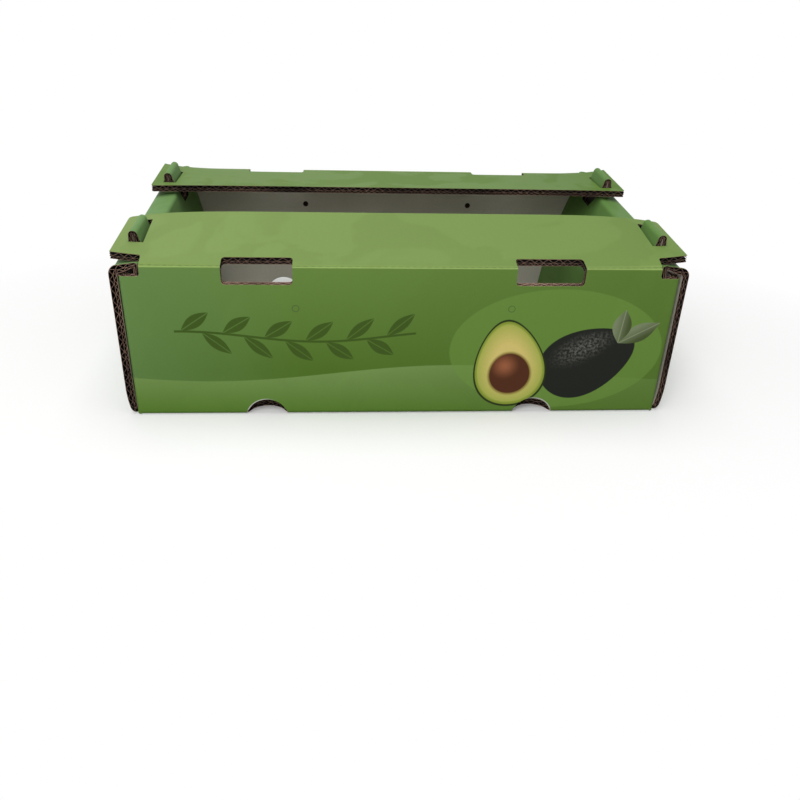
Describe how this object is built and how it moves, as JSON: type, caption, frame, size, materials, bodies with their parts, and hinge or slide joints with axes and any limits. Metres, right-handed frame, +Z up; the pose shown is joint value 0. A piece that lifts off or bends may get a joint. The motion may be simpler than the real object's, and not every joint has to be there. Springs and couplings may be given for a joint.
{
  "type": "avocado box",
  "caption": "Open stacking fruit tray of folded corrugated board with hollow rolled ends, locking tabs, hinged top flaps, hand windows and half-round vents.",
  "frame": {"origin": "middle of the base, on the surface that the box stands on", "axes": "+X along the length, -Y towards the printed front wall, +Z up"},
  "size_m": [0.5, 0.3, 0.1624],
  "materials": {
    "printed_board": "green print with a satin varnish on double-wall corrugated board",
    "printed_flap": "light green print with a satin varnish on double-wall corrugated board"
  },
  "bodies": {
    "tray": {"tray": "printed_board"},
    "front_flap": {"front_flap": "printed_flap"},
    "rear_flap": {"rear_flap": "printed_flap"}
  },
  "joints": [
    {"name": "front_crease", "type": "hinge", "parent": "tray", "child": "front_flap", "pos_m": [0, -0.15, 0.145], "axis": [1, 0, 0], "range_deg": [0, 80.5]},
    {"name": "rear_crease", "type": "hinge", "parent": "tray", "child": "rear_flap", "pos_m": [0, 0.15, 0.145], "axis": [-1, 0, 0], "range_deg": [0, 84.5]}
  ]
}
